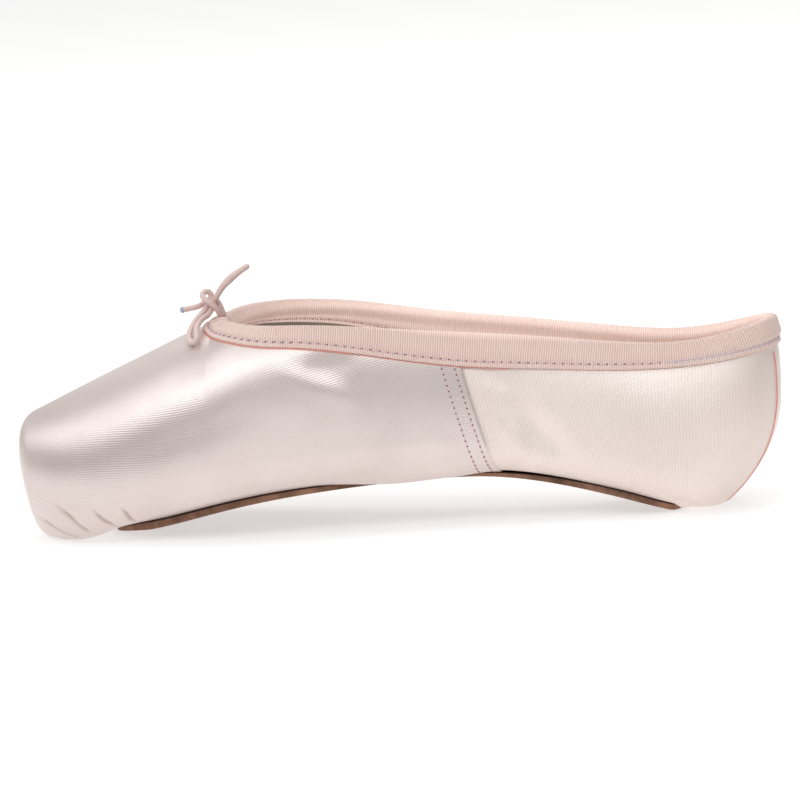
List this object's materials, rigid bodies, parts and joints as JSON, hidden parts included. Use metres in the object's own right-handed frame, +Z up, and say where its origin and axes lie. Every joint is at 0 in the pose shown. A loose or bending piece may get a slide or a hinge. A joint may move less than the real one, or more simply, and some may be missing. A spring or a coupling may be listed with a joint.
{
  "type": "pointe shoe",
  "caption": "Satin pointe shoe with a stiffened flat-ended toe box, drawstring collar casing and a narrow leather outsole, standing empty.",
  "frame": {"origin": "centre of the shoe's bounding box on the floor it stands on, measured without the drawstring's free pieces", "axes": "+X from the toe platform to the heel, +Z up, -Y the side that the picture shows; the shoe is symmetric about Y = 0"},
  "size_m": [0.2412, 0.076, 0.0824],
  "materials": {
    "satin": "pale pink satin over canvas and a paste-stiffened box",
    "sole_leather": "bare brown leather",
    "insole_canvas": "matt canvas sock over a board",
    "grosgrain": "ribbed pink tape",
    "drawstring_elastic": "braided pink elastic cord"
  },
  "bodies": {
    "root": {"upper": "satin", "outsole": "sole_leather", "insole": "insole_canvas", "collar_binding": "grosgrain", "drawstring_stem": "drawstring_elastic", "drawstring_knot": "drawstring_elastic", "drawstring_loop": "drawstring_elastic", "drawstring_end_up": "drawstring_elastic", "drawstring_end_left": "drawstring_elastic"}
  },
  "joints": []
}
